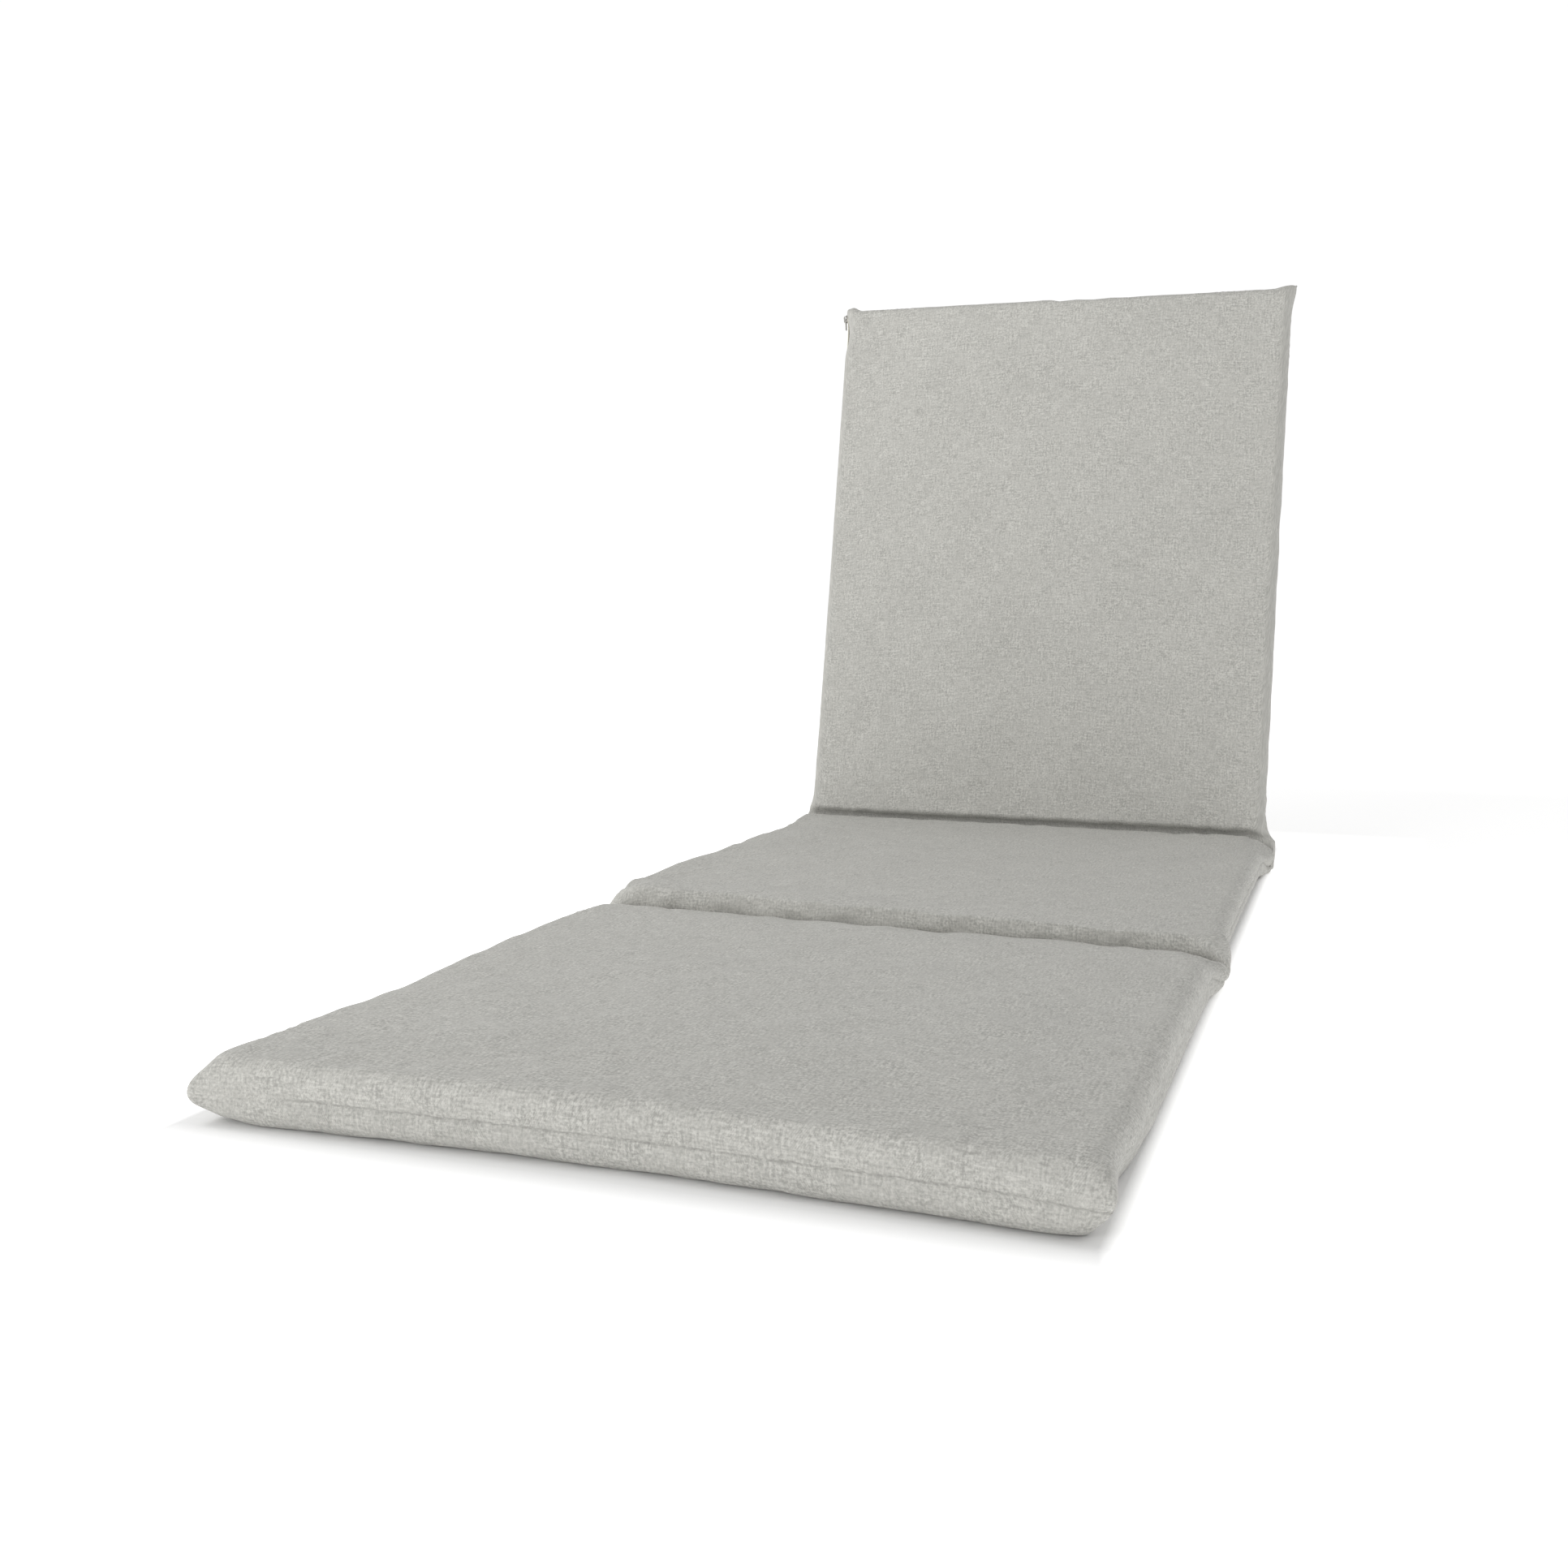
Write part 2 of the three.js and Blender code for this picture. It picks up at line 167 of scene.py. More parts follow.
# The cover's lips beside the zip: their height, the depth between them and half the width of that
ZIP_LIP, ZIP_RECESS, ZIP_HALF = 1.3, 0.35, 6.8
ZIP_END, ZIP_END_FADE = 606, 14  # how far down the side seam the zip's opening goes
LIP_RISES, RECESS_RISES = 2.4, 1.5
LIP_FROM, LIP_FADE = 0.55, 0.4   # share of the edge's height where the lips start to end


def smooth(t):
    t = np.clip(t, 0, 1)
    return t * t * (3 - 2 * t)


def fall(t):
    return (1 - np.clip(t, 0, 1)) ** 2


def lerp(a, b, t):
    return a + (b - a) * t


def step_across(step, steps, span, first, last):
    """How far in each step is from one edge of a section towards the other, and its share of the full
    height. first and last are the reach and roundness of the two edges."""
    beyond = step > steps / 2
    local = np.where(beyond, steps - step, step)
    reach = np.where(beyond, last[0], first[0])
    power = 2 / np.where(beyond, last[1], first[1])
    angle = math.pi / 2 * np.clip(local / RISE_STEPS, 0, 1) ** RISE_CROWDING
    zone = np.clip((local - RISE_STEPS) / ZONE_STEPS, 0, 1) ** ZONE_CROWDING
    flat = np.clip((local - EDGE_STEPS) / (steps / 2 - EDGE_STEPS), 0, 1)
    at = reach * (1 - np.cos(angle) ** power)
    at = at + (EDGE_ZONE - reach) * zone + (span / 2 - EDGE_ZONE) * flat
    return np.where(beyond, span - at, at), np.sin(angle) ** power


def curved(values, part):
    """A curve through the values at the left, in the middle and at the right."""
    left, middle, right = values
    return (left * (1 - part) * (1 - 2 * part) + middle * 4 * part * (1 - part)
            + right * part * (2 * part - 1))


def by_side(pair, side):
    return np.where(side == 0, pair[0], pair[1])


def ear_out(end, distance, side):
    return by_side(end["out"], side) * fall((distance - end["hold"]) / end["fade"])


def side_at(index, along, side):
    """Distance of a side seam from the middle line."""
    section = SECTIONS[index]
    middle = 1 - (2 * along / section["length"] - 1) ** 2
    return (by_side(section["sides"], side) - section["drawn"] * middle
            + ear_out(ENDS[2 * index], along, side)
            + ear_out(ENDS[2 * index + 1], section["length"] - along, side))


def seam_level(index, along):
    length = SECTIONS[index]["length"]
    from_start = lerp(ENDS[2 * index]["seam"], SIDE_SEAM, smooth(along / SEAM_SETTLES))
    from_end = lerp(ENDS[2 * index + 1]["seam"], SIDE_SEAM, smooth((length - along) / SEAM_SETTLES))
    return np.where(along < length / 2, from_start, from_end)


def section_frames():
    """Origin, direction of travel and direction of the sitting side of each section."""
    lean = math.radians(LEAN)
    flat_ahead, flat_up = np.array((0, 1.0, 0)), np.array((0, 0, 1.0))
    back_ahead = np.array((0, math.sin(lean), math.cos(lean)))
    back_up = np.array((0, -math.cos(lean), math.sin(lean)))
    foot = np.array((0, FOOT_END_Y, 0))
    seat = foot + SECTIONS[0]["length"] * flat_ahead
    fold = seat + SECTIONS[1]["length"] * flat_ahead + ENDS[3]["seam"] * flat_up
    back = fold - ENDS[4]["seam"] * back_up
    return [(foot, flat_ahead, flat_up), (seat, flat_ahead, flat_up), (back, back_ahead, back_up)]


FRAMES = section_frames()


def place_in(index, x, along, level):
    origin, ahead, up = FRAMES[index]
    x, along, level = (np.asarray(v, float)[..., None] for v in (x, along, level))
    return origin + x * np.array((1.0, 0, 0)) + along * ahead + level * up


def softened(edge, distance, by):
    """Near an ear an edge rises over a longer reach and is rounder."""
    near = fall(distance / EDGE_ZONE * 2)
    return edge[0] + by * near, lerp(edge[1], 2, near * np.clip(by / EAR_SOFTENS, 0, 1))


def settled(edge, index, side, along):
    """Near a fold both sections have the same side edge."""
    distances = (along, SECTIONS[index]["length"] - along)
    for fold, distance, part in ((index - 1, distances[0], 1), (index, distances[1], 0)):
        if fold in (0, 1):
            common = FOLD_EDGES[fold]["edges"][side]
            near = fall(distance / FOLD_EDGES[fold]["settles"][part])
            edge = [lerp(own, shared, near) for own, shared in zip(edge, common)]
    return edge


def cover(index, face):
    """Every point of one face of a section, with what the padding and the sewing need to know."""
    section = SECTIONS[index]
    start, end = ENDS[2 * index], ENDS[2 * index + 1]
    edge_key = "edge" if face else "under"
    row, column = np.meshgrid(np.arange(ROWS + 1.0), np.arange(COLUMNS + 1.0), indexing="ij")
    side = (column >= COLUMNS / 2).astype(int)
    width = sum(section["sides"])
    across, _ = step_across(column, COLUMNS, width, SIDE_EDGE, SIDE_EDGE)
    from_side = np.minimum(across, width - across)
    bow = 1 - abs(2 * across / width - 1) ** BOW_POWER
    drawn_start, drawn_end = [
        by_side(e["tip"], side) * (1 - fall((from_side - by_side(e["tip_hold"], side))
                                            / by_side(e["tip_reach"], side))) + e["bow"] * bow
        for e in (start, end)]
    corners = [by_side(e["corner"], side) for e in (start, end)]
    row_at, row_rise = step_across(row, ROWS, section["length"] - drawn_start - drawn_end,
                                   softened(start[edge_key], from_side, corners[0]),
                                   softened(end[edge_key], from_side, corners[1]))
    along = drawn_start + row_at
    from_end = section["length"] - along
    first_half = along < section["length"] / 2
    edges = []
    for number, edge in enumerate(section["edges" if face else "under_edges"]):
        edge = settled(edge, index, number, along)
        near_start = softened(edge, along, corners[0])
        near_end = softened(edge, from_end, corners[1])
        edges.append([np.where(first_half, a, b) for a, b in zip(near_start, near_end)])
    left = side_at(index, along, 0)
    span = left + side_at(index, along, 1)
    column_at, column_rise = step_across(column, COLUMNS, span, *edges)
    x = column_at - left

    rise = row_rise * column_rise
    seam = seam_level(index, along)
    if index == 0:
        seam = seam + FRONT_SEAM_LIFT * fall(along / SEAM_SETTLES) * (1 - fall(from_side / EDGE_ZONE))
        ear = np.linalg.norm(place_in(0, x, along, seam) - BLUNT_EAR["at"], axis=-1)
        rise = rise ** lerp(1, BLUNT_EAR["power"], fall(ear / BLUNT_EAR["reach"]))
    at_start = row < ROWS / 2
    sheets = (1 - row_rise) * np.where(at_start, start["sheets"], end["sheets"]) * column_rise
    if face:
        crown = (section["crown"] * (1 - (2 * column_at / span - 1) ** 2)
                 * (1 - (2 * along / section["length"] - 1) ** 2))
        set_in = SET_IN * fall((along - SET_IN_UP_TO) / SET_IN_REACH) if index == 2 else 0
        part = column_at / span
        lift = (curved(section["start_lift"], part) * fall((along - LIFT_KEEPS) / LIFT_FADES)
                + curved(section["end_lift"], part) * fall((from_end - LIFT_KEEPS) / LIFT_FADES))
        level = lerp(seam, THICKNESS + crown + lift - set_in, rise) + sheets
    else:
        level = seam * (1 - rise) - sheets
    whole = np.ones_like(x)
    return {
        "place": place_in(index, x, along, level), "along": along, "rise": rise, "side": side,
        "column_rise": column_rise, "from_seam": level - seam,
        "index": whole * index, "face": whole * face,
    }


def arc_lengths(place, axis, start):
    """Distance over the cloth along one direction of the grid, from its line number start."""
    steps = np.linalg.norm(np.diff(place, axis=axis), axis=2)
    total = np.concatenate([np.zeros_like(np.take(steps, [0], axis)), np.cumsum(steps, axis)], axis)
    return total - np.take(total, [start], axis)


def joined_cover(face):
    """The three sections' grids as one, from the foot end to the head end."""
    parts = [cover(index, face) for index in range(3)]
    grid = {key: np.concatenate([p[key][min(i, 1):] for i, p in enumerate(parts)]) for key in parts[0]}
    across = arc_lengths(grid["place"], 1, 0)
    ahead = arc_lengths(grid["place"], 0, 0)
    from_sides = np.minimum(across, across[:, -1:] - across)
    from_ends = np.minimum(ahead, ahead[-1:] - ahead)
    grid["seam_distance"] = np.minimum(from_sides, from_ends)
    grid["head_distance"] = ahead[-1:] - ahead
    near_ear = fall(ahead / HIDDEN_SEAM["reach"]) * (grid["place"][..., 0] < 0)
    past_ear = smooth((grid["place"][..., 0] - HIDDEN_SEAM["from"]) / HIDDEN_SEAM["fade"])
    grid["seam_shows"] = np.maximum(past_ear, 1 - near_ear)
    plain = (smooth((ahead - PLAIN_SIDE["from"]) / PLAIN_SIDE["fade"])
             * (1 - smooth((ahead - PLAIN_SIDE["to"]) / PLAIN_SIDE["fade"])))
    grid["seam_shows"] *= 1 - PLAIN_SIDE["share"] * plain * (grid["place"][..., 0] > 0)
    grid["fold_distance"] = np.min([abs(ahead - ahead[ROWS * n]) for n in (1, 2)], axis=0)
    grid["cloth"] = np.stack([arc_lengths(grid["place"], 1, COLUMNS // 2), ahead], -1)
    return grid


PITCH_RANGE = (0.55, 1.3)    # how the frequencies of the waves in a ripple differ


def ripple(points, pitch, seed, waves=28):
    """Smooth unevenness with about this pitch and a spread of 1, the same on every run."""
    rng = np.random.default_rng(seed)
    total = np.zeros(len(points))
    for _ in range(waves):
        direction = rng.normal(size=3)
        direction *= 2 * math.pi / pitch * rng.uniform(*PITCH_RANGE) / np.linalg.norm(direction)
        total += np.sin(points @ direction + rng.uniform(0, 2 * math.pi))
    return total / math.sqrt(waves / 2)


def vertex_normals(points, quads):
    corners = points[quads]
    facing = np.cross(corners[:, 2] - corners[:, 0], corners[:, 3] - corners[:, 1])
    normals = np.zeros_like(points)
    for k in range(4):
        np.add.at(normals, quads[:, k], facing)
    return normals / np.maximum(np.linalg.norm(normals, axis=1, keepdims=True), 1e-9)


def padding_height(v):
    """How far the padding, the seams and the slack of the cover lift each point along its normal."""
    points, rise, seam_distance = v["place"], v["rise"], v["seam_distance"]
    in_zip = ((v["index"] == 2) & (v["side"] == 0)) * (1 - v["column_rise"] ** 8)
    in_zip = in_zip * smooth((v["along"] - (SECTIONS[2]["length"] - ZIP_END)) / ZIP_END_FADE)
    from_zip = abs(v["from_seam"])
    lips = ZIP_LIP * smooth((from_zip - ZIP_HALF) / LIP_RISES)
    lips = lips * (1 - smooth((v["column_rise"] - LIP_FROM) / LIP_FADE))
    zip_height = lips - ZIP_RECESS * (1 - smooth((from_zip - ZIP_HALF) / RECESS_RISES))
    shows = v["seam_shows"]
    lobes = LOBE * (4 * rise * (1 - rise)) ** LOBE_POWER * lerp(PLAIN_LOBE, 1, shows)
    groove = -GROOVE * np.exp(-(seam_distance / GROOVE_WIDTH) ** 2) * shows
    ridge = np.exp(-(v["head_distance"] / GROOVE_WIDTH) ** 2)
    groove = lerp(groove, HEAD_RIDGE, ridge)
    puckers = SEAM_PUCKER * ripple(points, SEAM_PUCKER_PITCH, SEEDS["seam"])
    puckers = puckers * np.exp(-seam_distance / SEAM_PUCKER_REACH)
    height = lerp(lobes + groove + puckers, zip_height, in_zip)

    fold = v["fold_distance"]
    near_fold = np.exp(-(fold / FOLD_PUCKER_REACH) ** 2) * smooth(fold / FOLD_SEWN)
    height += FOLD_PUCKER * near_fold * ripple(points, FOLD_PUCKER_PITCH, SEEDS["fold"])
    for number, (size, pitch) in enumerate(SLACK):
        away = smooth((seam_distance - SLACK_FROM) / SLACK_REACH)
        height += size * ripple(points, pitch, SEEDS["slack"] + number) * away
    resting = (v["face"] == 0) & (v["index"] < 2) & (v["rise"] > FLAT_FACE)
    return np.where(resting, 0, height)


# Wrinkles of the cover: where one starts and ends in the model, its width and its height
WRINKLES = [
    ((-289, -700, 36), (-287, -704, 8), 6, -5.5),
    ((-275, -107, 57.5), (60, -107, 51.5), 2.8, 2.4),
    ((-60, -107, 53.5), (284, -107, 47.5), 2.8, 2.2),
    ((295, 450, 41), (301, 508, 34), 6, -5),
    ((297, 470, 34), (306, 508, 20), 3.5, 2),
    ((285, -155, 39), (296, -106, 30), 6, -4),
    ((-262, -700, 40), (-282, -704, 26), 7, -0.9),
    ((300, 425, 44), (305, 515, 16), 5, 1.6),
    ((299, 400, 38), (304, 508, 28), 5, -1.5),
    ((298, 470, 47), (306, 519, 30), 4, 1.3),
    ((299, 440, 20), (304, 512, 10), 5, -1.2),
    ((296, -165, 44), (303, -108, 16), 5, -1.5),
    ((297, -140, 46), (304, -104, 24), 4, 1.2),
    ((262, -77, 47), (268, -92, 33), 4, -1.3),
    ((280, -76, 47), (278, -94, 30), 4, -1.4),
    ((246, -78, 47), (249, -92, 34), 5, -0.8),
    ((-297, 470, 44), (-303, 518, 22), 5, 1.2),
    ((-296, -150, 44), (-302, -106, 18), 5, -1.3),
]

WRINKLE_END = 0.25           # share of its height that a wrinkle has at its ends

# Places where the cover is pulled: middle, radius and how far it moves
PULLS = [
    ((301, -706, 6), (45, 60, 20), (-5, 2, 0)),
    ((300, -660, 24), (32, 70, 30), (-3, 0, 0)),
    ((302, -660, 6), (36, 95, 26), (-8.5, 0, 0)),
    ((302, -600, 6), (36, 95, 26), (-4, 0, 0)),
    ((0, -95, 44), (900, 26, 22), (0, -5, 0.5)),
    ((-300, -85, 48), (48, 52, 36), (5, 4, -16)),
    ((-297, 661, 704), (19, 24, 44), (7, 1.5, 0)),
    ((-297, 694, 734), (15, 20, 13), (-0.5, 0, 1.8)),
    ((294, 500, 46), (26, 75, 26), (-12, 0, -3)),
    ((292, -130, 44), (30, 60, 26), (-13, 0, -3)),
    ((307, 498, 34), (16, 40, 26), (1.5, 0, 0)),
    ((309, 505, 10), (14, 42, 16), (-5, 0, 4)),
    ((306, -100, 4), (16, 45, 14), (-4, 0, 3)),
    ((-290, -500, 46), (45, 170, 45), (4, 0, -2.5)),
    ((-292, 70, 44), (45, 150, 45), (-2.5, 0, 2.5)),
    ((-288, 400, 46), (60, 130, 40), (1, 0, -3)),
]


def wrinkle_height(points):
    height = np.zeros(len(points))
    for start, end, width, size in WRINKLES:
        start, end = np.array(start, float), np.array(end, float)
        run = end - start
        part = np.clip((points - start) @ run / (run @ run), 0, 1)
        distance = np.linalg.norm(points - start - part[:, None] * run, axis=1)
        height += size * np.exp(-(distance / width) ** 2) * lerp(WRINKLE_END, 1, np.sin(math.pi * part))
    return height


def pulled(points):
    points = points.copy()
    for middle, radius, move in PULLS:
        distance = np.linalg.norm((points - np.array(middle, float)) / np.array(radius, float), axis=1)
        points += smooth(1 - distance)[:, None] * np.array(move, float)
    return points


def mesh_object(name, points, faces, smooth_faces=True):
    mesh = bpy.data.meshes.new(name)
    mesh.from_pydata((np.asarray(points) * MM).tolist(), [], [tuple(map(int, f)) for f in faces])
    mesh.validate()
    if smooth_faces:
        mesh.polygons.foreach_set("use_smooth", [True] * len(mesh.polygons))
    mesh.update()
    piece = bpy.data.objects.new(name, mesh)
    bpy.context.scene.collection.objects.link(piece)
    return piece


def add_float(mesh, name, values):
    mesh.attributes.new(name, "FLOAT", "POINT").data.foreach_set("value", np.asarray(values, np.float32))


# The cover in Blender's cloth simulation: sewn down at the seams and folds, held loosely by the filling
# elsewhere, and a little larger than the filling beside a fold. most is the longest move in millimetres.
CLOTH = {"frames": 20, "quality": 5, "mass": 0.15, "stretch": 12, "shear": 4, "bending": 0.12,
         "pressure": 1.0, "most": 1.6}
HELD = {"sewn": 3, "open": 0.5, "beside_fold": 0.08, "reach": 90}
EASE = {"open": 0.004, "beside_fold": 0.035, "reach": 70}
ZIP_EDGE = 0.98              # the edge beside the zip is held up to this share of its height


def quads_of(number, turned):
    a, b, c, d = number[:-1, :-1], number[:-1, 1:], number[1:, 1:], number[1:, :-1]
    return np.stack([a, d, c, b] if turned else [a, b, c, d], -1).reshape(-1, 4)


def let_go(points, quads, held, ease):
    """How far each point of the closed cover moves in the simulation."""
    piece = mesh_object("cover_cloth", points, quads)
    for name, weights in (("Held", held), ("Ease", ease)):
        group = piece.vertex_groups.new(name=name)
        for number, weight in enumerate(weights):
            group.add([number], float(weight), "REPLACE")
    cloth = piece.modifiers.new("Cloth", "CLOTH")
    cloth.collision_settings.use_collision = False
    settings = cloth.settings
    settings.quality = CLOTH["quality"]
    settings.mass = CLOTH["mass"]
    settings.tension_stiffness = settings.compression_stiffness = CLOTH["stretch"]
    settings.shear_stiffness = CLOTH["shear"]
    settings.bending_stiffness = CLOTH["bending"]
    settings.vertex_group_mass = "Held"
    settings.vertex_group_shrink = "Ease"
    settings.shrink_min, settings.shrink_max = -EASE["open"], -EASE["beside_fold"]
    settings.use_pressure = True
    settings.uniform_pressure_force = CLOTH["pressure"]
    settings.effector_weights.gravity = 0
    scene = bpy.context.scene
    for frame_number in range(1, CLOTH["frames"] + 1):
        scene.frame_set(frame_number)
    shape = piece.evaluated_get(bpy.context.evaluated_depsgraph_get()).to_mesh()
    moved = np.empty(points.size)
    shape.vertices.foreach_get("co", moved)
    scene.frame_set(1)
    bpy.data.objects.remove(piece)
    moves = moved.reshape(-1, 3) / MM - points
    length = np.maximum(np.linalg.norm(moves, axis=1, keepdims=True), 1e-9)
    return moves * CLOTH["most"] * np.tanh(length / CLOTH["most"]) / length


def spread_out(field, shape):
    """A grid of every second point's moves, filled in between to the full grid."""
    for axis in (0, 1):
        at = np.arange(shape[axis]) / 2
        low = np.minimum(at.astype(int), field.shape[axis] - 2)
        part = np.expand_dims(at - low, (2, 1 - axis))
        field = lerp(np.take(field, low, axis), np.take(field, low + 1, axis), part)
    return field.reshape(-1, 3)


def cloth_moves(points, v, top_number, under_number):
    """How far the cover moves when it is let go, worked out on every second point of the grid."""
    kept = [number[::2, ::2] for number in (top_number, under_number)]
    used, numbers = np.unique(np.concatenate([k.ravel() for k in kept]), return_inverse=True)
    top, under = numbers.reshape((2,) + kept[0].shape)
    seam, fold = v["seam_distance"][used], v["fold_distance"][used]
    resting = (v["face"][used] == 0) & (v["index"][used] < 2) & (v["rise"][used] > FLAT_FACE)
    in_zip = (v["index"][used] == 2) & (v["side"][used] == 0) & (v["column_rise"][used] < ZIP_EDGE)
    loose = fall(fold / HELD["reach"])
    held = np.maximum(1 - np.minimum(seam, fold) / HELD["sewn"],
                      lerp(HELD["open"], HELD["beside_fold"], loose))
    held = np.where(resting | in_zip, 1, held)
    ease = fall(fold / EASE["reach"])
    quads = np.concatenate([quads_of(top, False), quads_of(under, True)])
    moves = let_go(points[used], quads, held, ease)
    full = np.zeros_like(points)
    for number, part in ((top_number, top), (under_number, under)):
        full[number.ravel()] = spread_out(moves[part], number.shape)
    return full


UNDERSIDE_CLOTH = (1500, 0)  # where the underside's panel starts on the cloth


def make_cushion():
    """The filled cover: two faces that meet at one seam all round, stitched through at the folds."""
    faces = [joined_cover(1), joined_cover(0)]
    rows, columns = faces[0]["along"].shape
    top_number = np.arange(rows * columns).reshape(rows, columns)
    inner = np.zeros((rows, columns), bool)
    inner[1:-1, 1:-1] = True
    under_number = top_number.copy()
    under_number[inner] = rows * columns + np.arange(inner.sum())
    v = {key: np.concatenate([faces[0][key].reshape((-1,) + faces[0][key].shape[2:]),
                              faces[1][key][inner]]) for key in faces[0]}

    quads = np.concatenate([quads_of(top_number, False), quads_of(under_number, True)])
    v["place"] = pulled(v["place"])
    height = padding_height(v) + wrinkle_height(v["place"])
    points = v["place"] + height[:, None] * vertex_normals(v["place"], quads)
    points = points + cloth_moves(points, v, top_number, under_number)
    points[:, 2] = np.maximum(points[:, 2], 0)

    piece = mesh_object("cushion_soft", points, quads)
    mesh = piece.data
    add_float(mesh, "SeamDistance", v["seam_distance"] * MM)
    add_float(mesh, "FoldDistance", v["fold_distance"] * MM)
    add_float(mesh, "SeamShows", v["seam_shows"])
    cloth = np.concatenate([
        faces[0]["cloth"].reshape(-1, 2)[quads_of(top_number, False)],
        faces[1]["cloth"].reshape(-1, 2)[quads_of(top_number, True)] + UNDERSIDE_CLOTH])
    mesh.uv_layers.new(name="Cloth").data.foreach_set("uv", (cloth * MM).astype(np.float32).ravel())
    fold_rows = [(points[top_number[ROWS * n]], points[under_number[ROWS * n]]) for n in (1, 2)]
    return piece, fold_rows


def lozenge(start, end, radius, up, sides=6):
    """Points and faces of a short thread from start to end, with narrower ends."""
    axis = (end - start) / np.linalg.norm(end - start)
    across = np.cross(up, axis)
    turn = np.arange(sides) * 2 * math.pi / sides
    points, faces = [], []
    for part, size in ((0, 0.35), (0.15, 0.85), (0.5, 1), (0.85, 0.85), (1, 0.35)):
        middle = start + (end - start) * part
        ring = middle + radius * size * (np.cos(turn)[:, None] * across + np.sin(turn)[:, None] * up)
        points.extend(ring)
    for ring in range(4):
        for k in range(sides):
            after = (k + 1) % sides
            low, high = ring * sides, (ring + 1) * sides
            faces.append((low + k, low + after, high + after, high + k))
    faces.append(tuple(reversed(range(sides))))
    faces.append(tuple(range(4 * sides, 5 * sides)))
    return np.array(points), faces


def joined(parts):
    """One point array and face list from many."""
    points, faces, first = [], [], 0
    for part_points, part_faces in parts:
        points.append(part_points)
        faces.extend(tuple(first + k for k in f) for f in part_faces)
        first += len(part_points)
    return np.concatenate(points), faces


STITCH_PITCH, STITCH_LENGTH, STITCH_RADIUS = 3.6, 2.9, 0.42
STITCH_MARGIN = 6            # how far from the side seams the first and the last stitch are


def make_stitches(fold_rows):
    """Sewing thread along both folds, on the sitting side and the underside."""
    parts = []
    for pair in fold_rows:
        middle = (pair[0] + pair[1]) / 2
        for line in pair:
            run = np.concatenate([[0], np.cumsum(np.linalg.norm(np.diff(line, axis=0), axis=1))])
            count = int((run[-1] - 2 * STITCH_MARGIN) / STITCH_PITCH)
            for n in range(count):
                first = STITCH_MARGIN + n * STITCH_PITCH
                ends = [first, first + STITCH_LENGTH]
                at = [np.array([np.interp(e, run, line[:, k]) for k in range(3)]) for e in ends]
                inside = np.array([np.interp(ends[0], run, middle[:, k]) for k in range(3)])
                out = at[0] - inside
                out /= max(np.linalg.norm(out), 1e-6)
                lift = out * 0.5 * STITCH_RADIUS
                parts.append(lozenge(at[0] + lift, at[1] + lift, STITCH_RADIUS, out))
    return mesh_object("fold_stitches", *joined(parts))


# Zip in the left side seam of the back section, measured along it from the head end
GAP = 0.3
TAPE = {"from": 4, "to": 600, "width": 13, "thickness": 1}
CHAIN = {"from": 5, "to": 598, "width": 4.6, "thickness": 1}
SLIDER = {"from": 5.5, "length": 11.5, "width": 7, "plate": 1.2, "opening": 3.2, "bar": 1,
          "bridge": 2.2, "leg": 1.5, "inset": 1}
PULL = {"from": 10.5, "length": 17, "width": 5.6, "thickness": 1.1, "arm": 1.45, "hole": 8.5}
TAPE_RINGS, TAPE_CROWDING = 240, 1.5  # more than 1 sets the rings at the head end closer together
CHAIN_OUT = GAP + TAPE["thickness"] + GAP
SLIDER_OUT = CHAIN_OUT + CHAIN["thickness"] + GAP


def zip_point(from_head, out, across_seam):
    along = SECTIONS[2]["length"] - np.asarray(from_head, float)
    return place_in(2, -side_at(2, along, 0) - out, along, seam_level(2, along) + across_seam)


def make_tape():
    """Woven tape under the teeth, with rolled edges."""
    lengths = lerp(TAPE["from"], TAPE["to"], np.linspace(0, 1, TAPE_RINGS) ** TAPE_CROWDING)
    half, thick = TAPE["width"] / 2, TAPE["thickness"]
    profile = [(-1, 0.3), (-0.97, 0.9), (-0.9, 1), (-0.5, 0.92), (-0.2, 1), (0.2, 1), (0.5, 0.92),
               (0.9, 1), (0.97, 0.9), (1, 0.3), (0.97, 0), (0.5, 0), (0, 0), (-0.5, 0), (-0.97, 0)]
    rings = np.stack([zip_point(lengths, GAP + out * thick, across * half)
                      for across, out in profile], 1)
    count = len(profile)
    number = np.arange(len(lengths) * count).reshape(len(lengths), count)
    faces = []
    for k in range(count):
        after = (k + 1) % count
        faces.extend(zip(number[:-1, k], number[:-1, after], number[1:, after], number[1:, k]))
    faces.append(tuple(number[0][::-1]))
    faces.append(tuple(number[-1]))
    piece = mesh_object("zip_tape_woven", rings.reshape(-1, 3), faces)
    down = np.repeat(lengths[:, None], count, 1).ravel()
    across = np.tile([p[0] * half for p in profile], len(lengths))
    add_float(piece.data, "TapeAlong", down * MM)
    add_float(piece.data, "TapeAcross", across * MM)
    return piece


TOOTH_PITCH, TOOTH_RADIUS = 1.45, 0.46
TOOTH_OVERLAP, TOOTH_SLANT = 0.7, 0.35


